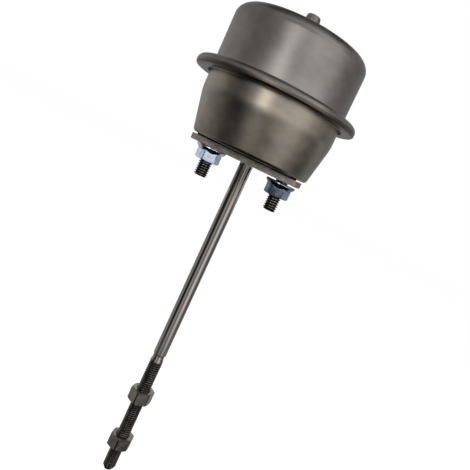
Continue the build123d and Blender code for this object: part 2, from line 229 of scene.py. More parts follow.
@dataclass(frozen=True)
class DrawnSteel:
    """Deep-drawn low-carbon steel under a thin clear passivation.

    It reads as dull brown-grey metal with cloudy patches a centimetre across and fine drawing lines round it.
    The real lines are finer than a pixel, so they are drawn as coarse as they need to show.
    """

    name: str = "DrawnSteel"
    dark: str = "797471"
    light: str = "8b8682"
    rough: tuple[float, float] = (0.3, 0.4)
    lines_per_mm: float = 1.6
    # The next four fields set the painted shade on the rim's lower edge and underside.
    rim_shade_z_mm: float | None = None
    rim_shade_fade_mm: float = 0.8
    rim_shade_dark: str = "4a413b"
    rim_shade_light: str = "5d534c"

    def build(self) -> Material:
        """Makes the material. Returns: the material."""
        surface = Surface(self.name)
        tree = surface.tree
        cloud = add_grain(tree, (0.07, 0.07, 0.09), 3.0)
        lines = add_grain(tree, (0.025, 0.025, self.lines_per_mm), 2.0)
        speck = add_grain(tree, (1.4, 1.4, 1.4), 2.0)
        stops = [(0.35, self.dark), (0.65, self.light)]
        colour = add_node(tree, "ValToRGB", {"Fac": cloud}, stops=stops)
        # Painted shade: the rim's lower edge and underside are darkened below a height.
        if self.rim_shade_z_mm is not None:
            colour = self.with_rim_shade(tree, cloud, colour)
        relief = add_node(tree, "Math", {0: lines, 1: speck}, operation="ADD")
        return surface.shade(colour, cloud, self.rough, relief, depth_mm=0.012, strength=0.35)

    def with_rim_shade(self, tree: NodeTree, cloud: Node, colour: Node) -> Node:
        """Darkens the rim below a height with a brown painted shade on its lower edge and underside.

        Args:
            tree: the node tree.
            cloud: the factor that the metal's patches follow.
            colour: the metal's colour above the painted shade.

        Returns:
            The colour with the rim's painted shade.
        """
        coordinates = add_node(tree, "TexCoord")
        spot = add_node(tree, "SeparateXYZ", {"Vector": coordinates.outputs["Object"]})
        top = self.rim_shade_z_mm + self.rim_shade_fade_mm
        limits = {"From Min": self.rim_shade_z_mm * MM, "From Max": top * MM, "To Min": 0.0, "To Max": 1.0}
        above = add_node(tree, "MapRange", {"Value": spot.outputs["Z"]}, limits)
        stops = [(0.35, self.rim_shade_dark), (0.65, self.rim_shade_light)]
        rim_shade = add_node(tree, "ValToRGB", {"Fac": cloud}, stops=stops)
        return add_node(tree, "MixRGB", {"Fac": above, "Color1": rim_shade, "Color2": colour})


@dataclass(frozen=True)
class GroundRod:
    """Centreless-ground and polished carbon steel, unplated.

    It mirrors its surroundings in long bright and dark bands, broken by faint lengthwise streaks of oil and
    wear, and by the fine rings of the grinding, drawn coarse enough to show.
    """

    name: str = "GroundRod"
    dark: str = "948e89"
    light: str = "b5b0ab"

    def build(self) -> Material:
        """Makes the material. Returns: the material."""
        surface = Surface(self.name)
        streak = add_grain(surface.tree, (0.9, 0.9, 0.014))
        ring = add_grain(surface.tree, (0.06, 0.06, 2.5), 2.0)
        stops = [(0.3, self.dark), (0.7, self.light)]
        colour = add_node(surface.tree, "ValToRGB", {"Fac": streak}, stops=stops)
        return surface.shade(colour, streak, (0.05, 0.1), ring, depth_mm=0.004, strength=0.3)


@dataclass(frozen=True)
class RootShadedThread:
    """Rolled thread of carbon steel, darkened in its roots by painted shade and left light on its crests."""

    name: str
    axis_x_mm: float = 0.0
    depth_mm: float = 0.7
    root: str = "26221f"
    crest: str = "8c8680"

    def build(self) -> Material:
        """Makes the material, coloured by the distance from the thread's axis. Returns: the material."""
        surface = Surface(self.name)
        root_r = THREAD_CREST_R - self.depth_mm
        height = add_reach(surface.tree, self.axis_x_mm, root_r, THREAD_CREST_R)
        patch = add_grain(surface.tree, (0.26, 0.26, 0.2), 3.0)
        painted_light_share = add_node(surface.tree, "Math", {0: height, 1: patch}, operation="MULTIPLY")
        # Painted shade: the ramp darkens the thread towards its roots.
        stops = [(0.1, self.root), (0.62, self.crest)]
        colour = add_node(surface.tree, "ValToRGB", {"Fac": painted_light_share}, stops=stops)
        return surface.shade(colour, patch, (0.12, 0.22))


@dataclass(frozen=True)
class PhosphatedNut:
    """Phosphated steel nut: warm dull grey flats with a fine grain, and a painted dark reflection along each
    corner.
    """

    name: str = "PhosphatedNutSteel"
    corner_mm: float = 7.36
    corner_width_mm: float = 0.16
    dark: str = "75706b"
    light: str = "a39d96"
    # The corner colour is a painted dark reflection.
    corner: str = "1f1c1a"

    def build(self) -> Material:
        """Makes the material, its painted reflection lines led by the distance from the rod's axis. Returns:
        the material.
        """
        surface = Surface(self.name)
        painted_light_share = add_reach(surface.tree, 0.0, self.corner_mm - self.corner_width_mm, self.corner_mm)
        patch = add_grain(surface.tree, (0.24, 0.24, 0.24))
        marks = add_grain(surface.tree, (0.52, 0.52, 0.52))
        stops = [(0.3, self.dark), (0.7, self.light)]
        flats = add_node(surface.tree, "ValToRGB", {"Fac": patch}, stops=stops)
        # Painted reflection: the rounded corners take the dark corner colour.
        parts, corner = {"Fac": painted_light_share, "Color1": flats}, {"Color2": linear(self.corner)}
        mixed = add_node(surface.tree, "MixRGB", parts, corner)
        return surface.shade(mixed, marks, (0.28, 0.42), marks, depth_mm=0.06, strength=0.4)


@dataclass(frozen=True)
class ZincPlate:
    """Electroplated zinc, clear blue passivated: pale silver with a cold blue cast that drifts to straw."""

    name: str = "BlueZinc"
    cold: str = "9ab2cf"
    pale: str = "cfdff4"
    straw: str = "b2bbbc"

    def build(self) -> Material:
        """Makes the material. Returns: the material."""
        surface = Surface(self.name)
        drift = add_grain(surface.tree, (0.18, 0.18, 0.22), 2.0)
        grit = add_grain(surface.tree, (2.6, 2.6, 2.6), 3.0)
        stops = [(0.3, self.cold), (0.52, self.pale), (0.72, self.straw)]
        colour = add_node(surface.tree, "ValToRGB", {"Fac": drift}, stops=stops)
        return surface.shade(colour, drift, (0.1, 0.18), grit, depth_mm=0.002, strength=0.15)


@dataclass(frozen=True)
class GrainedSurface:
    """A matt surface with cloudy patches 4 mm across and a finer grain or working marks along one axis."""

    name: str
    dark: str
    light: str
    rough: tuple[float, float]
    marks_per_mm: tuple[float, float, float] = (0.9, 0.9, 0.9)
    depth_mm: float = 0.02
    metallic: float = 1.0

    def build(self) -> Material:
        """Makes the material. Returns: the material."""
        surface = Surface(self.name)
        patch = add_grain(surface.tree, (0.24, 0.24, 0.24))
        marks = add_grain(surface.tree, self.marks_per_mm)
        stops = [(0.3, self.dark), (0.7, self.light)]
        colour = add_node(surface.tree, "ValToRGB", {"Fac": patch}, stops=stops)
        return surface.shade(colour, marks, self.rough, marks, self.depth_mm, 0.4, self.metallic)


# Meshes from numpy grids


def rounded(points: list[tuple[float, float]], radii: list[float], steps: int = 8) -> np.ndarray:
    """Rounds the inner corners of an open path.

    Each corner is replaced by the arc that touches both its runs: it starts a tangent's length, radius times
    the tangent of half the turn, before the corner, and turns about a centre one radius away from both runs.

    Args:
        points: corners of the path, in millimetres.
        radii: one radius for each inner corner; 0 keeps the corner.
        steps: segments of each arc.

    Returns:
        The path's points as an array of N by 2.
    """
    corners = np.asarray(points, dtype=float)
    pieces = [corners[:1]]
    for before, corner, after, radius in zip(corners[:-2], corners[1:-1], corners[2:], radii):
        into = (corner - before) / np.linalg.norm(corner - before)
        out = (after - corner) / np.linalg.norm(after - corner)
        turn = math.atan2(into[0] * out[1] - into[1] * out[0], float(into @ out))
        if radius <= 0.0 or abs(turn) < 1e-6:
            pieces.append(corner[None])
            continue
        start = corner - into * radius * math.tan(abs(turn) / 2.0)
        side = math.copysign(1.0, turn) * np.array([-into[1], into[0]])
        angles = np.linspace(0.0, abs(turn), steps + 1)[:, None]
        pieces.append(start + radius * (np.sin(angles) * into + (1.0 - np.cos(angles)) * side))
    pieces.append(corners[-1:])
    return np.concatenate(pieces)


def sheet_outline(path: np.ndarray, thickness: float) -> np.ndarray:
    """Gives a centre line half its thickness on each side: every point moves along the path's normal.

    Args:
        path: centre line as N by 2.
        thickness: full thickness of the sheet.

    Returns:
        The closed outline, down one side and back up the other.
    """
    along = np.gradient(path, axis=0)
    along /= np.linalg.norm(along, axis=1, keepdims=True)
    normal = np.stack([-along[:, 1], along[:, 0]], axis=1)
    return np.concatenate([path + normal * thickness / 2.0, (path - normal * thickness / 2.0)[::-1]])


def place(name: str, data: bpy.types.ID) -> Object:
    """Makes an object of a mesh, a camera or a lamp and links it. Returns: the object."""
    obj = bpy.data.objects.new(name, data)
    bpy.context.collection.objects.link(obj)
    return obj


def grid_mesh(name: str, points: np.ndarray, closed_rows: bool, sharp_degrees: float = 32.0) -> Object:
    """Turns a grid of points, closed around its columns, into a mesh with outward faces.

    Rows that shrink to one point are merged into a pole, and the last row joins the first where asked.

    Args:
        name: the object's name.
        points: rows by columns by 3, in millimetres.
        closed_rows: whether the rows run round a closed outline.
        sharp_degrees: edges that turn by more than this stay sharp.

    Returns:
        The linked object.
    """
    rows, columns = points.shape[:2]
    row = np.arange(rows if closed_rows else rows - 1)[:, None] * columns
    below = (row + columns) % (rows * columns)
    column = np.arange(columns)[None, :]
    beside = (column + 1) % columns
    faces = np.stack([row + column, row + beside, below + beside, below + column], axis=-1)
    mesh = bpy.data.meshes.new(name)
    mesh.from_pydata(points.reshape(-1, 3) * MM, [], faces.reshape(-1, 4).tolist())
    shell = bmesh.new()
    shell.from_mesh(mesh)
    bmesh.ops.remove_doubles(shell, verts=shell.verts, dist=MERGE_METRES)
    bmesh.ops.recalc_face_normals(shell, faces=shell.faces)
    shell.to_mesh(mesh)
    shell.free()
    mesh.polygons.foreach_set("use_smooth", np.ones(len(mesh.polygons), dtype=bool))
    mesh.set_sharp_from_angle(angle=math.radians(sharp_degrees))
    log.info("%s: %d faces", name, len(mesh.polygons))
    return place(name, mesh)


def turned_grid(outline: np.ndarray, segments: int) -> np.ndarray:
    """Carries an outline of radius and height round the Z axis: x = r cos a, y = r sin a, z = height.

    Args:
        outline: N by 2 radii and heights.
        segments: points round the axis.

    Returns:
        N by segments by 3 points.
    """
    angle = np.linspace(0.0, TURN, segments, endpoint=False)[None, :]
    radius, height = outline[:, :1], outline[:, 1:]
    flat = [radius * np.cos(angle), radius * np.sin(angle), height + 0.0 * angle]
    return np.stack(flat, axis=-1)


def thread_radius(angle: np.ndarray, height: np.ndarray) -> np.ndarray:
    """Radius of the right-hand unified thread that the rod and the studs share.

    The phase is the height less pitch times the share of a turn, over the pitch. The profile is a triangle
    wave of the phase, cut flat over a quarter of the pitch at the crest and the root, half a pitch deep.

    Args:
        angle: angles round the axis, in radians.
        height: heights in millimetres.

    Returns:
        The radius for each angle and height.
    """
    phase = np.mod(height / THREAD_PITCH - angle / TURN, 1.0)
    flank = np.clip((np.abs(phase - 0.5) * 2.0 - 0.25) / 0.5, 0.0, 1.0)
    return THREAD_CREST_R - 0.5 * THREAD_PITCH * flank


def threaded_grid(
    head: list[tuple[float, float]],
    span: tuple[float, float],
    cone: tuple[float, float],
    centre_x: float = 0.0,
) -> np.ndarray:
    """Gives a threaded rod that is closed at both ends: x = centre + r cos a, y = r sin a, z = height.

    The radius is the smaller of the thread's and the end cone's. The cone is the crest's radius down to its
    height above the end, and shrinks evenly by its depth from there.

    Args:
        head: radius and height of each ring above the thread, from the middle outwards.
        span: heights of the thread's top and end.
        cone: depth and height of the cone at the end.
        centre_x: the axis's place along X.

    Returns:
        Rows by segments by 3 points.
    """
    top_z, end_z = span
    depth, rise = cone
    height = np.linspace(top_z, end_z, int((top_z - end_z) / THREAD_PITCH * THREAD_ROWS_PER_TURN))[:, None]
    angle = np.linspace(0.0, TURN, THREAD_SEGMENTS, endpoint=False)[None, :]
    lead = THREAD_CREST_R - depth * np.clip((end_z + rise - height) / rise, 0.0, 1.0)
    thread = np.minimum(thread_radius(angle, height), lead)
    rings = np.array(head)[:, :, None] * np.ones((1, 1, THREAD_SEGMENTS))
    radius = np.concatenate([rings[:, 0], thread, 0.0 * angle])
    height = np.concatenate([rings[:, 1], height + 0.0 * angle, end_z + 0.0 * angle])
    return np.stack([centre_x + radius * np.cos(angle), radius * np.sin(angle), height], axis=-1)


def dress(obj: Object, material: Material, body: Body, slot: Slot, *nodes: str) -> None:
    """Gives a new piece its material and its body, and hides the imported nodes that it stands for."""
    obj.data.materials.clear()
    obj.data.materials.append(material)
    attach(obj, body.value)
    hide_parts(*nodes)


# Sub-assemblies


@dataclass
class Housings:
    """The two drawn housings, rolled together at the rim, with the pressure spigot in the crown."""

    sheet: float = 1.2
    wall_r: float = 39.5
    floor_r: float = 35.0
    floor_z: float = 4.2
    floor_hole_r: float = 7.22
    floor_corner: float = 2.3
    shoulder_z: float = 27.6
    shoulder_r: float = 28.0
    rim_r: float = 48.2
    rim_z: float = 37.8
    rim_height: float = 5.5
    rim_upper_r: float = 3.2
    rim_lower_r: float = 1.3
    rim_fillet: float = 1.3
    under_fillet: float = 1.4
    hem_r: float = 41.1
    flange_gap: float = 0.4
    # Height below which the upper housing's rim gets painted shade.
    rim_shade_z: float = 39.8
    top_z: float = 77.8
    corner_r: float = 7.0
    crown_degrees: float = 2.9
    spigot_gap: float = 0.03
    spigot_r: float = 4.4
    spigot_bore: float = 2.4
    spigot_stub: float = 0.4
    spigot_lead: float = 3.4
    spigot_taper: float = 0.55
    spigot_top_z: float = 88.6
    spigot_rounds: tuple[float, ...] = (0.2, 0.0, 0.0, 0.6, 0.4, 1.0, 1.1, 0.3)
    collar_width: float = 3.1
    collar_height: float = 2.0
    arc_steps: int = 12
    corner_steps: int = 16
    crown_steps: int = 15
    spigot_steps: int = 6
    segments: int = 192
    spigot_segments: int = 64

    def crown_radius(self) -> float:
        """Radius of the shallow crown, which meets the corner's arc at its slope."""
        slope = math.sin(math.radians(self.crown_degrees))
        return (self.wall_r - self.corner_r * (1.0 - slope)) / slope

    def upper(self) -> Object:
        """Makes the upper housing: the hem, the rolled edge, the wall, the corner and the crown as one sheet.

        The corner's centre line is a circle's arc and the crown's is an arc of a far larger circle about the
        axis, x = R sin t and z = top - R + R cos t, which meet with the same slope.
        """
        half = self.sheet / 2.0
        crown = self.crown_radius()
        tilt = math.radians(self.crown_degrees)
        corner_z = self.top_z - crown * (1.0 - math.cos(tilt)) - self.corner_r * math.cos(tilt)
        wall = rounded(
            [
                (self.hem_r, self.rim_z + half),
                (self.rim_r - half, self.rim_z + half),
                (self.rim_r - half, self.rim_z + self.rim_height - half),
                (self.wall_r - half, self.rim_z + self.rim_height - half),
                (self.wall_r - half, corner_z),
            ],
            [self.rim_lower_r - half, self.rim_upper_r - half, self.rim_fillet + half],
            self.arc_steps,
        )
        bend = np.linspace(0.0, math.pi / 2.0 - tilt, self.corner_steps + 1)[1:, None]
        bend_r = self.corner_r - half
        corner_x = self.wall_r - self.corner_r
        corner = np.hstack([corner_x + bend_r * np.cos(bend), corner_z + bend_r * np.sin(bend)])
        hole = math.asin((self.spigot_r + self.spigot_gap) / crown)
        fall = np.linspace(tilt, hole, self.crown_steps + 1)[1:, None]
        dome_r = crown - half
        dome = np.hstack([dome_r * np.sin(fall), self.top_z - crown + dome_r * np.cos(fall)])
        outline = sheet_outline(np.concatenate([wall, corner, dome]), self.sheet)
        return grid_mesh("UpperHousing", turned_grid(outline, self.segments), True)

    def lower(self) -> Object:
        """Makes the lower housing: the floor, the taper, the shoulder, the wall and the flange, one sheet."""
        half = self.sheet / 2.0
        lean = (self.wall_r - self.floor_r) / (self.shoulder_z - self.floor_z)
        path = rounded(
            [
                (self.floor_hole_r, self.floor_z + half),
                (self.floor_r - half * (1.0 - lean), self.floor_z + half),
                (self.wall_r - half, self.shoulder_z),
                (self.wall_r - half, self.rim_z + self.sheet + half),
                (self.rim_r - self.sheet - self.flange_gap, self.rim_z + self.sheet + half),
            ],
            [self.floor_corner - half, self.shoulder_r - half, self.under_fillet + half],
            self.arc_steps,
        )
        outline = sheet_outline(path, self.sheet)
        return grid_mesh("LowerHousing", turned_grid(outline, self.segments), True)

    def spigot(self) -> Object:
        """Makes the pressure spigot: stub, collar, plain tube, tapered lead, rounded tip and bore."""
        stub_z = self.top_z - self.sheet - self.spigot_stub
        collar_r = self.spigot_r + self.collar_width
        path = rounded(
            [
                (self.spigot_bore, stub_z),
                (self.spigot_r, stub_z),
                (self.spigot_r, self.top_z),
                (collar_r, self.top_z),
                (collar_r, self.top_z + self.collar_height),
                (self.spigot_r, self.top_z + self.collar_height),
                (self.spigot_r, self.spigot_top_z - self.spigot_lead),
                (self.spigot_r - self.spigot_taper, self.spigot_top_z),
                (self.spigot_bore, self.spigot_top_z),
                (self.spigot_bore, self.top_z),
            ],
            list(self.spigot_rounds),
            self.spigot_steps,
        )
        return grid_mesh("PressureSpigot", turned_grid(path, self.spigot_segments), True)

    def build(self) -> None:
        """Makes and dresses the housings and the spigot."""
        # The upper housing's steel carries painted shade on the rim's lower part.
        steel = DrawnSteel(rim_shade_z_mm=self.rim_shade_z).build()
        cup_steel = DrawnSteel("DrawnCupSteel", "7a746f", "92897b", (0.29, 0.36), 1.2).build()
        dress(self.upper(), steel, Body.CAN, Slot.HOUSING, "upper_housing")
        dress(self.lower(), cup_steel, Body.CAN, Slot.HOUSING, "lower_housing")
        dress(self.spigot(), steel, Body.CAN, Slot.HOUSING, "pressure_spigot")


@dataclass
class PushRod:
    """The polished rod with its neck, its cut thread and the staked end inside the can."""

    shank_r: float = 3.97
    neck_r: float = 3.44
    end_r: float = 3.0
    stake_r: float = 4.9
    stake_z: float = 75.0
    stake_height: float = 0.8
    stake_bevel: float = 0.9
    washer_z: float = 68.8
    neck_top: float = -125.4
    neck_bottom: float = -130.2
    upper_taper: float = 0.7
    lower_taper: float = 2.2
    tip_z: float = -208.0
    tip_chamfer: float = 1.4
    tip_height: float = 2.2
    segments: int = 96

    def build(self) -> None:
        """Makes and dresses the shank, a turned profile, and the threaded end, one mesh each."""
        shank = np.array(
            [
                (0.0, self.stake_z + self.stake_height),
                (self.stake_r - self.stake_bevel, self.stake_z + self.stake_height),
                (self.stake_r, self.stake_z),
                (self.end_r, self.stake_z),
                (self.end_r, self.washer_z),
                (self.shank_r, self.washer_z),
                (self.shank_r, self.neck_top),
                (self.neck_r, self.neck_top - self.upper_taper),
                (self.neck_r, self.neck_bottom + self.lower_taper),
                (THREAD_CREST_R, self.neck_bottom),
                (0.0, self.neck_bottom),
            ]
        )
        rod = grid_mesh("PushRodShank", turned_grid(shank, self.segments), False)
        dress(rod, GroundRod().build(), Body.ROD, Slot.ROD, "push_rod")
        cone = (self.tip_chamfer, self.tip_height)
        points = threaded_grid([(0.0, self.neck_bottom)], (self.neck_bottom, self.tip_z), cone)
        thread = grid_mesh("PushRodThread", points, False, HELIX_SHARP_DEGREES)
        dress(thread, RootShadedThread("RootShadedRodThread").build(), Body.ROD, Slot.THREAD, "push_rod")


@dataclass
class Stud:
    """One mounting stud: a round head inside the can and a cut thread down through the plate."""

    name: str
    node: str
    x: float
    end_z: float
    head_z: float = 6.4
    head_r: float = 6.2
    head_height: float = 1.8
    chamfer: float = 0.7

    def build(self) -> None:
        """Makes and dresses the stud as one mesh: the head's rings and then the thread's."""
        top_z = self.head_z + self.head_height
        outer = [(self.head_r, top_z), (self.head_r, self.head_z)]
        head = [(0.0, top_z), *outer, (THREAD_CREST_R, self.head_z)]
        points = threaded_grid(head, (self.head_z, self.end_z), (self.chamfer, self.chamfer), self.x)
        stud = grid_mesh(self.name, points, False, HELIX_SHARP_DEGREES)
        finish = RootShadedThread(f"{self.name}Steel", self.x)
        dress(stud, finish.build(), Body.CAN, Slot.THREAD, self.node)


@dataclass
class Hexagon:
    """Sizes that all the nuts share: a hexagon with worn edges, chamfered corners and a plain bore."""

    name: str
    node: str
    top_z: float
    turn: float
    x: float = 0.0
    height: float = 8.3
    across_flats: float = 13.0
    bore_r: float = 3.98
    bore_chamfer: float = 0.5
    chamfer_slope: float = 0.577
    face_share: float = 0.97
    edge_round: float = 0.9
    arc_points: int = 7
    flat_points: int = 9
    sharp_degrees: float = 24.0

    def ring(self) -> np.ndarray:
        """Points round the hexagon, as complex numbers, with a corner on the positive real axis.

        One side is the corner's arc, whose centre lies half the flats less the rounding over the cosine of 30
        degrees from the axis, and then the flat up to the next arc. The side is turned six times.
        """
        sector = TURN / 6.0
        centre = (self.across_flats / 2.0 - self.edge_round) / math.cos(sector / 2.0)
        bend = np.linspace(-sector / 2.0, sector / 2.0, self.arc_points)
        arc = centre + self.edge_round * np.exp(1j * bend)
        along = 0.5 - 0.5 * np.cos(np.linspace(0.0, math.pi, self.flat_points + 2)[1:-1])
        flat = arc[-1] + (arc[0] * np.exp(1j * sector) - arc[-1]) * along
        side = np.concatenate([arc, flat])
        return (side[None, :] * np.exp(1j * sector * np.arange(6))[:, None]).ravel()

    def face_r(self) -> float:
        """Radius where the chamfer's cone meets the nut's end face."""
        return self.across_flats / 2.0 * self.face_share

    def lower_rows(self, reach: np.ndarray) -> list[tuple[np.ndarray | float, np.ndarray | float]]:
        """The rows from the flats down round the chamfered lower end into the bore.

        Args:
            reach: radius of the hexagon at each of the ring's points.

        Returns:
            For each row, radii and heights. The cone drops by its slope times the radius past the end face.
        """
        low = self.top_z - self.height
        drop = self.chamfer_slope * (reach - self.face_r())
        mouth = [(self.bore_r + self.bore_chamfer, low), (self.bore_r, low + self.bore_chamfer)]
        return [(reach, low + drop), (self.face_r(), low), *mouth]

    def shell(self, rows: list[tuple[np.ndarray | float, np.ndarray | float]]) -> Object:
        """Turns rows of radius and height into a closed nut, starting with the bore's upper mouth.

        Args:
            rows: for each row after the mouth, radii and heights at the ring's points.

        Returns:
            The nut's object.
        """
        mouth = [(self.bore_r, self.top_z - self.bore_chamfer), (self.bore_r + self.bore_chamfer, self.top_z)]
        angle = np.angle(self.ring()) + math.radians(self.turn)
        ones = np.ones_like(angle)
        across, deep = np.cos(angle), np.sin(angle)
        grid = [np.stack([self.x + r * across, r * deep, z * ones], axis=-1) for r, z in [*mouth, *rows]]
        return grid_mesh(self.name, np.stack(grid), True, self.sharp_degrees)


@dataclass
class PlainNut(Hexagon):
    """A thick hexagon nut, chamfered at both ends."""

    def build(self, material: Material, body: Body) -> None:
        """Makes and dresses the nut."""
        reach = np.abs(self.ring())
        drop = self.chamfer_slope * (reach - self.face_r())
        rows = [(self.face_r(), self.top_z), (reach, self.top_z - drop), *self.lower_rows(reach)]
        dress(self.shell(rows), material, body, Slot.NUT, self.node)


@dataclass
class FlangeNut(Hexagon):
    """A hexagon nut with a broad flange on top, whose cone runs down into the flats."""

    height: float = 8.4
    flange_r: float = 8.85
    flange_edge: float = 1.1
    flange_round: float = 0.3
    flange_bulge: tuple[float, float] = (0.08, 0.1)
    flange_lip: float = 0.15
    cone_end: float = 3.6
    cone_end_r: float = 6.3
    cone_shares: tuple[float, ...] = (0.1, 0.4, 0.7, 1.0)

    def build(self, material: Material) -> None:
        """Makes and dresses the nut. Its cone meets each point of the hexagon where both have one radius."""
        reach = np.abs(self.ring())
        edge_z = self.top_z - self.flange_edge
        slope = (self.cone_end - self.flange_edge) / (self.flange_r - self.cone_end_r)
        run = reach - self.flange_r
        inward, down = self.flange_bulge
        rows = [
            (self.flange_r - self.flange_round, self.top_z),
            (self.flange_r - inward, self.top_z - down),
            (self.flange_r, self.top_z - self.flange_round),
            (self.flange_r, edge_z + self.flange_lip),
            *[(self.flange_r + run * share, edge_z + slope * run * share) for share in self.cone_shares],
            *self.lower_rows(reach),
        ]
        dress(self.shell(rows), material, Body.CAN, Slot.ZINC, self.node)


@dataclass
class ReturnSpring:
    """The round-wire spring between its seat and the piston."""

    mean_r: float = 22.0
    wire_r: float = 2.1
    turns: float = 7.0
    bottom_z: float = 9.45
    top_z: float = 71.25
    stroke: float = 20.0
    steps_per_turn: int = 60
    segments: int = 16

    def build(self) -> None:
        """Makes and dresses the coil.

        The wire's middle climbs evenly from the bottom to the top while it turns. Round each of its points
        stands a circle of the wire's radius, and heights past either end are cut off there, which leaves the
        ground ends flat.
        """
        share = np.linspace(0.0, 1.0, int(self.turns * self.steps_per_turn) + 1)[:, None]
        turn = TURN * self.turns * share
        round_wire = np.linspace(0.0, TURN, self.segments, endpoint=False)[None, :]
        radius = self.mean_r + self.wire_r * np.cos(round_wire) + 0.0 * turn
        length = self.top_z - self.bottom_z
        height = self.bottom_z + length * share + self.wire_r * np.sin(round_wire)
        height = np.clip(height, self.bottom_z, self.top_z)
        coil = np.stack([radius * np.cos(turn), radius * np.sin(turn), height], axis=-1)
        ends = np.repeat(coil[[0, -1]].mean(axis=1, keepdims=True), self.segments, axis=1)
        points = np.concatenate([ends[:1], coil, ends[1:]])
        spring = grid_mesh("ReturnSpring", points, False, HELIX_SHARP_DEGREES)
        # Cold-drawn spring wire: dark blue-grey, with a dull sheen
        wire = GrainedSurface("DrawnWire", "4a4a4c", "646466", (0.3, 0.42)).build()
        dress(spring, wire, Body.CAN, Slot.SPRING, "spring")
        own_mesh(spring)


@dataclass
class RollingDiaphragm:
    """The fabric-backed rubber over the piston, down its skirt, round the loop and out into the rim."""

    sheet: float = 1.0
    hole_r: float = 3.03
    top_z: float = 73.3
    leg_r: float = 34.0
    outer_leg_r: float = 37.7
    loop_z: float = 35.15
    loop_flat: float = 0.05
    rim_z: float = 40.7
    edge_r: float = 44.8
    shoulder_bend: float = 4.3
    rim_bend: float = 1.4
    stroke: float = 20.0
    segments: int = 120

    def build(self) -> None:
        """Makes and dresses the diaphragm, a turned sheet."""
        loop = (self.outer_leg_r - self.leg_r) / 2.0 - self.loop_flat
        path = rounded(
            [
                (self.hole_r, self.top_z),
                (self.leg_r, self.top_z),
                (self.leg_r, self.loop_z),
                (self.outer_leg_r, self.loop_z),
                (self.outer_leg_r, self.rim_z),
                (self.edge_r, self.rim_z),
            ],
            [self.shoulder_bend, loop, loop, self.rim_bend],
        )
        outline = sheet_outline(path, self.sheet)
        diaphragm = grid_mesh("RollingDiaphragm", turned_grid(outline, self.segments), True)
        # Moulded rubber over fabric: black and matt, the weave faintly felt
        rubber = GrainedSurface(
            "FabricBackedRubber", "121112", "211f20", (0.55, 0.75), depth_mm=0.03, metallic=0.0
        )
        dress(diaphragm, rubber.build(), Body.CAN, Slot.RUBBER, "diaphragm")
        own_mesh(diaphragm)


@dataclass
class Gasket:
    """The rubber sheet squeezed between the plate and the can, its long edges slightly bulged."""

    low_z: float = 3.4
    high_z: float = 4.2
    centre_x: float = -0.9
    half_length: float = 29.4
    half_width: float = 12.5
    corner_r: float = 2.0
    bulge: float = 0.18
    roundness: float = 0.999
    hole_r: float = 7.22
    corner_points: int = 9
    edge_points: int = 7
    cuts: int = 4

    def build(self, material: Material) -> None:
        """Makes and dresses the gasket.

        Its outline is a rectangle with round corners, given as complex numbers: the corner's centre plus its
        arc, in the four quarters. Each row joins that outline to the round hole at one height, and the bulge
        follows a half circle up the edge.
        """
        quarter = np.linspace(0.0, math.pi / 2.0, self.corner_points)
        signs = np.array([1.0 + 1.0j, -1.0 + 1.0j, -1.0 - 1.0j, 1.0 - 1.0j])
        along, across = self.half_length - self.corner_r, self.half_width - self.corner_r
        centres = signs.real * along + 1j * signs.imag * across
        starts = np.arange(4) * math.pi / 2.0
        corners = centres[:, None] + self.corner_r * np.exp(1j * (starts[:, None] + quarter[None, :]))
        outline = self.refined(corners.ravel() + self.centre_x)
        hole = self.hole_r * np.exp(1j * np.angle(outline))
        side = np.linspace(-1.0, 1.0, self.edge_points)
        rise = (self.low_z + self.high_z) / 2.0 + side * (self.high_z - self.low_z) / 2.0
        swell = self.bulge * (np.sqrt(1.0 - self.roundness * side**2) - 1.0)
        edge = outline[None, :] * (1.0 + swell[:, None] / np.abs(outline)[None, :])
        flat = np.concatenate([hole[None, :], edge, hole[None, :]])
        height = np.concatenate([rise[:1], rise, rise[-1:]])[:, None] + np.zeros(flat.shape)
        gasket = grid_mesh("PlateGasket", np.stack([flat.real, flat.imag, height], axis=-1), True)
        dress(gasket, material, Body.CAN, Slot.GASKET, "plate_gasket")

    def refined(self, outline: np.ndarray) -> np.ndarray:
        """Cuts each run between neighbouring points of a closed complex outline into equal parts."""
        share = np.arange(self.cuts) / self.cuts
        return (outline[:, None] + (np.roll(outline, -1) - outline)[:, None] * share).ravel()


@dataclass
class RodSeal:
    """The lip seal round the rod in the bush's lower end."""

    bore_r: float = 4.02
    outer_r: float = 5.57
    low_z: float = 1.35
    high_z: float = 4.35
    lip: float = 0.5
    groove: float = 0.45
    rounds: tuple[float, ...] = (0.1, 0.2, 0.2, 0.1, 0.1)
    arc_steps: int = 4
    segments: int = 64

    def build(self, material: Material) -> None:
        """Makes and dresses the seal, turned from a profile with two lips and a groove between them."""
        path = rounded(
            [
                (self.bore_r, self.low_z + self.lip),
                (self.bore_r + self.lip, self.low_z),
                (self.outer_r, self.low_z),
                (self.outer_r, self.high_z),
                (self.bore_r + self.lip, self.high_z),
                (self.bore_r, self.high_z - self.lip),
                (self.bore_r + self.groove, (self.low_z + self.high_z) / 2.0),
            ],
            list(self.rounds),
            self.arc_steps,
        )
        seal = grid_mesh("RodSeal", turned_grid(path, self.segments), True)
        dress(seal, material, Body.CAN, Slot.RUBBER, "rod_seal")


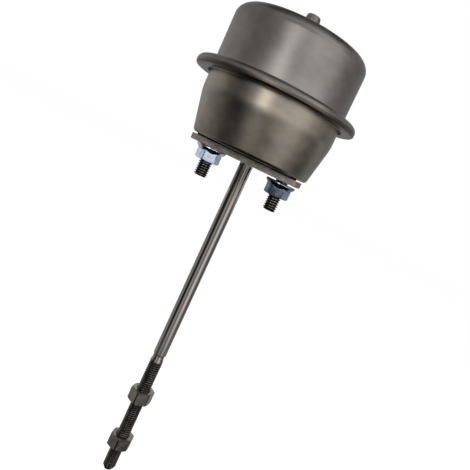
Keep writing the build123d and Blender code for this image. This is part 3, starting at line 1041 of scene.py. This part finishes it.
@dataclass
class KeptParts:
    """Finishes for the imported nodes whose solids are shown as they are."""

    nodes: dict[str, Object]

    def build(self) -> None:
        """Assigns a material to each kept node."""
        # Bar cut on a saw: pale brown-grey, matt, with fine level lines
        sawn = GrainedSurface("SawnPlateSteel", "7b736c", "9c938b", (0.45, 0.6), (0.25, 0.25, 2.6), 0.03)
        # Pressings from cold-rolled strip: plain mid grey, half dull
        pressed = GrainedSurface("PressedSteel", "6d6a67", "85817d", (0.35, 0.5))
        # Sintered bearing bronze, full of oil: brown gold, dull
        bronze = GrainedSurface("OiledBronze", "7a5a34", "96713f", (0.4, 0.55))
        # Pressed aluminium sheet, untreated: light, slightly cold grey
        alloy = GrainedSurface("PressedAlloy", "a9a9ab", "bebec0", (0.35, 0.5))
        groups = [
            (sawn, ("mounting_plate",)),
            (pressed, ("stud_plate", "seal_retainer", "stop_sleeve", "spring_seat", "piston_washer")),
            (bronze, ("guide_bush",)),
            (alloy, ("piston", "cover_plate")),
        ]
        for finish, names in groups:
            material = finish.build()
            for name in names:
                for slot in self.nodes[name].material_slots:
                    slot.link = "OBJECT"
                    slot.material = material
                log.info("%s keeps its solid, finished as %s", name, material.name)


# Studio


@dataclass(frozen=True)
class Patch:
    """A bright box or a dark flag on the wall of the mirrored room, its edges soft.

    Azimuths count from the camera's side, positive to the right, and all angles are in degrees. At its half
    width and half height the patch has faded by half. A level of 1 mirrors as white.
    """

    azimuth: float
    elevation: float
    half_width: float
    half_height: float
    level: float

    def cover(self, azimuth: np.ndarray, elevation: np.ndarray) -> np.ndarray:
        """Share of the patch at each direction.

        Args:
            azimuth: directions' azimuths.
            elevation: directions' elevations.

        Returns:
            The product of two fades, each 1 up to half of the half size, 0 from one and a half of it and a
            smooth step, three squares less two cubes, in between.
        """
        aside = np.abs(np.mod(azimuth - self.azimuth + 180.0, 360.0) - 180.0) / self.half_width
        above = np.abs(elevation - self.elevation) / self.half_height
        fades = np.clip(1.5 - np.stack(np.broadcast_arrays(aside, above)), 0.0, 1.0)
        return np.prod(fades * fades * (3.0 - 2.0 * fades), axis=0)


@dataclass
class MirroredRoom:
    """The grey room with soft boxes and dark flags that only the metals mirror, a sphere round the object."""

    front_degrees: float
    radius: float = 1400.0
    grey: float = 0.39
    whole_turn: float = 400.0
    step_degrees: float = 1.5

    def patches(self) -> dict[str, Patch]:
        """The patches by name, each laid over those before it. Returns: the patches."""
        return {
            "floor_dark": Patch(0.0, -70.0, self.whole_turn, 27.0, 0.0),
            "ceiling_dark": Patch(0.0, 75.0, self.whole_turn, 23.0, 0.0),
            "back_floor": Patch(180.0, -35.0, 110.0, 8.0, 0.5),
            "front_floor": Patch(12.0, -37.0, 63.0, 8.0, 0.0),
            "back_box": Patch(180.0, 12.0, 18.0, 15.0, 1.1),
            "left_wall": Patch(-113.0, 2.0, 30.0, 11.0, 0.85),
            "left_low_wall": Patch(-125.0, -17.0, 44.0, 11.0, 0.4),
            "right_low_box": Patch(41.0, -15.0, 18.0, 12.0, 1.15),
            "right_low_flag": Patch(97.0, -16.0, 18.0, 12.0, 0.15),
            "front_low_flag": Patch(8.0, -15.0, 8.0, 12.0, 0.25),
            "sliver": Patch(-16.0, -15.0, 6.0, 13.0, 0.7),
            "left_low_flag": Patch(-53.0, -15.0, 20.0, 14.0, 0.02),
            "horizon_flag": Patch(-6.0, -1.7, 60.0, 2.0, 0.1),
            "left_flag": Patch(-66.0, -2.0, 25.0, 8.0, 0.03),
            "wide_box": Patch(21.0, 3.7, 55.0, 2.3, 2.8),
            "key_box": Patch(-16.0, 7.6, 8.0, 4.2, 7.5),
            "upper_box": Patch(-14.0, 15.0, 18.0, 4.1, 1.9),
            "upper_right_box": Patch(15.0, 13.7, 10.0, 7.2, 1.8),
            "right_box": Patch(73.0, 11.0, 6.0, 9.5, 1.05),
            "high_flag": Patch(21.0, 30.0, 38.0, 7.0, 0.0),
            "high_box": Patch(16.0, 51.0, 67.0, 10.0, 1.0),
            "right_card": Patch(112.0, -3.0, 12.0, 3.0, 1.0),
            "nut_card": Patch(19.5, -2.2, 6.0, 1.6, 1.0),
        }

    def build(self) -> None:
        """Makes the sphere, x = cos e sin a, y = -cos e cos a, z = sin e, with its light at each point."""
        azimuth = np.linspace(-180.0, 180.0, int(360.0 / self.step_degrees) + 1)[None, :]
        elevation = np.linspace(-90.0, 90.0, int(180.0 / self.step_degrees) + 1)[:, None]
        level = np.full(np.broadcast(azimuth, elevation).shape, self.grey)
        for patch in self.patches().values():
            share = patch.cover(azimuth, elevation)
            level = level * (1.0 - share) + patch.level * share
        across, upward = np.radians(self.front_degrees + azimuth), np.radians(elevation)
        flat = np.cos(upward)
        points = [np.sin(across) * flat, -np.cos(across) * flat, np.sin(upward) + 0.0 * across]
        points = np.stack(points, axis=-1).reshape(-1, 3) * self.radius * MM
        rows, columns = level.shape
        corner = np.arange(rows - 1)[:, None] * columns + np.arange(columns - 1)[None, :]
        faces = corner.reshape(-1, 1) + [0, columns, columns + 1, 1]
        mesh = bpy.data.meshes.new("MirroredRoom")
        mesh.from_pydata(points, [], faces.tolist())
        light = mesh.attributes.new("level", "FLOAT", "POINT")
        light.data.foreach_set("value", level.astype(np.float32).ravel())
        room = place("MirroredRoom", mesh)
        wall = Surface("PaintedRoomWall")
        shade = add_node(wall.tree, "Attribute", attribute_name="level").outputs["Fac"]
        glow = add_node(wall.tree, "Emission", {"Strength": shade}, {"Color": linear(WHITE)})
        mesh.materials.append(wall.close(glow))
        for ray in ("camera", "diffuse", "shadow", "transmission", "volume_scatter"):
            setattr(room, f"visible_{ray}", False)


@dataclass(frozen=True)
class Lamp:
    """A soft rectangular lamp that faces the middle of the object, its sizes in millimetres."""

    name: str
    azimuth: float
    elevation: float
    distance: float
    size: tuple[float, float]
    power: float

    def build(self, front_degrees: float) -> None:
        """Hangs the lamp at its azimuth from the camera's side, positive to the right, and its elevation."""
        across, upward = math.radians(front_degrees + self.azimuth), math.radians(self.elevation)
        flat = math.cos(upward)
        spot = Vector((math.sin(across) * flat, -math.cos(across) * flat, math.sin(upward))) * self.distance
        data = bpy.data.lights.new(self.name, "AREA")
        data.shape = "RECTANGLE"
        data.size, data.size_y = self.size[0] * MM, self.size[1] * MM
        data.energy = self.power
        lamp = place(self.name, data)
        lamp.location = spot * MM
        lamp.rotation_mode = "QUATERNION"
        lamp.rotation_quaternion = (-spot).to_track_quat("-Z", "Y")
        lamp.visible_camera = False


@dataclass
class Studio:
    """A pale floor, soft lamps, the room that metal mirrors, and the camera of the photograph."""

    camera_at: tuple[float, float, float] = (63.53, -293.85, 3.42)
    camera_right: tuple[float, float, float] = (0.89276, 0.13717, 0.42914)
    camera_up: tuple[float, float, float] = (-0.44271, 0.09039, 0.89210)
    focal_pixels: float = 516.07
    shift: tuple[float, float] = (-0.0915, 0.0411)
    clip: tuple[float, float] = (0.01, 20.0)
    front_degrees: float = 12.2
    ambient: float = 0.5
    floor_z: float = -232.0
    floor_half: float = 6000.0
    floor_glow: float = 0.54
    paper: str = "f4f4f4"
    paper_rough: float = 0.9

    def camera(self) -> None:
        """Sets the camera, its frame taken as a square of the photograph's pixels."""
        data = bpy.data.cameras.new("PhotoCamera")
        data.sensor_fit = "HORIZONTAL"
        data.sensor_width = SENSOR_MM
        data.lens = self.focal_pixels / PHOTO_PIXELS * SENSOR_MM
        data.shift_x, data.shift_y = self.shift
        data.clip_start, data.clip_end = self.clip
        right = Vector(self.camera_right).normalized()
        up = Vector(self.camera_up)
        up = (up - right * up.dot(right)).normalized()
        turn = Matrix((right, up, right.cross(up))).transposed()
        camera = place("PhotoCamera", data)
        camera.matrix_world = Matrix.Translation(Vector(self.camera_at) * MM) @ turn.to_4x4()
        bpy.context.scene.camera = camera

    def world(self) -> None:
        """Lights the surroundings: white where they are seen or mirrored, softer for diffuse light."""
        world = bpy.data.worlds.new("StudioAir")
        world.use_nodes = True
        tree = world.node_tree
        tree.nodes.clear()
        path = add_node(tree, "LightPath")
        seen = path.outputs["Is Camera Ray"]
        for ray in ("Is Glossy Ray", "Is Transmission Ray"):
            seen = add_node(tree, "Math", {0: seen, 1: path.outputs[ray]}, operation="MAXIMUM")
        soft, white = [
            add_node(tree, "Background", values={"Color": linear(WHITE), "Strength": strength})
            for strength in (self.ambient, 1.0)
        ]
        mix = add_node(tree, "MixShader", {"Fac": seen, 1: soft, 2: white})
        add_node(tree, "OutputWorld", {"Surface": mix})
        bpy.context.scene.world = world

    def floor(self) -> None:
        """Lays the pale paper floor, white to the camera but for the object's soft shadow.

        Mirrors don't see it, because the mirrored room has a floor of its own.
        """
        side, level = self.floor_half, self.floor_z
        corners = [(-side, -side, level), (side, -side, level), (side, side, level), (-side, side, level)]
        mesh = bpy.data.meshes.new("StudioFloor")
        mesh.from_pydata(np.array(corners) * MM, [], [(0, 1, 2, 3)])
        floor = place("StudioFloor", mesh)
        paper = Surface("PalePaper")
        dull = {"Base Color": linear(self.paper), "Roughness": self.paper_rough, "Specular IOR Level": 0.0}
        matt = add_node(paper.tree, "BsdfPrincipled", values=dull)
        seen = {0: add_node(paper.tree, "LightPath").outputs["Is Camera Ray"]}
        level = add_node(paper.tree, "Math", seen, {1: self.floor_glow}, operation="MULTIPLY")
        glow = add_node(paper.tree, "Emission", {"Strength": level}, {"Color": linear(WHITE)})
        mesh.materials.append(paper.close(add_node(paper.tree, "AddShader", {0: matt, 1: glow})))
        floor.visible_glossy = False

    def build(self) -> None:
        """Makes the camera, the surroundings, the floor, the lamps and the room that metal mirrors."""
        self.camera()
        self.world()
        self.floor()
        Lamp("KeyLamp", 43.0, 24.0, 900.0, (680.0, 760.0), 1.5).build(self.front_degrees)
        Lamp("StripLamp", -17.0, 16.0, 900.0, (170.0, 520.0), 0.3).build(self.front_degrees)
        Lamp("TopLamp", 10.0, 80.0, 1100.0, (900.0, 900.0), 0.8).build(self.front_degrees)
        MirroredRoom(self.front_degrees).build()


def main() -> None:
    """Builds the studio and every sub-assembly in order."""
    logging.basicConfig(level=logging.INFO, format="%(name)s: %(message)s")
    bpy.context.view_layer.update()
    Studio().build()
    Housings().build()
    PushRod().build()
    Stud("StudLeft", "stud_left", -STUD_X, -17.6).build()
    Stud("StudRight", "stud_right", STUD_X, -18.2).build()
    zinc = ZincPlate().build()
    # A darker copy of the blue zinc for the right flange nut: painted shade.
    shaded_zinc = ZincPlate("ShadedBlueZinc", "4a5669", "66748a", "858d94").build()
    FlangeNut("FlangeNutLeft", "flange_nut_left", 0.0, 24.0, -STUD_X).build(zinc)
    FlangeNut("FlangeNutRight", "flange_nut_right", -1.0, 6.0, STUD_X).build(shaded_zinc)
    nut_steel = PhosphatedNut().build()
    PlainNut("RodNutUpper", "rod_nut_upper", -150.4, 26.0).build(nut_steel, Body.UPPER_NUT)
    PlainNut("RodNutLower", "rod_nut_lower", -183.2, 35.0).build(nut_steel, Body.LOWER_NUT)
    ReturnSpring().build()
    # Compressed black rubber: matt, with a fine dusty grain
    grain = (1.2, 1.2, 1.2)
    rubber = GrainedSurface("BlackRubber", "0f0e0e", "1d1c1b", (0.55, 0.75), grain, metallic=0.0).build()
    Gasket().build(rubber)
    RodSeal().build(rubber)
    RollingDiaphragm().build()
    KeptParts(frame["nodes"]).build()
    bpy.context.scene.view_settings.view_transform = "Standard"


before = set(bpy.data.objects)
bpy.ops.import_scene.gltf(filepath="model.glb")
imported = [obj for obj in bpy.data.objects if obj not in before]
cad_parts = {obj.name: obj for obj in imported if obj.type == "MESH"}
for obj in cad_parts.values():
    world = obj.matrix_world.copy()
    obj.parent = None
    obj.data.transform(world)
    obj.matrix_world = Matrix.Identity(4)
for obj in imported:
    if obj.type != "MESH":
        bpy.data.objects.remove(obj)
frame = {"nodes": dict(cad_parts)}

if __name__ == "__main__":
    main()
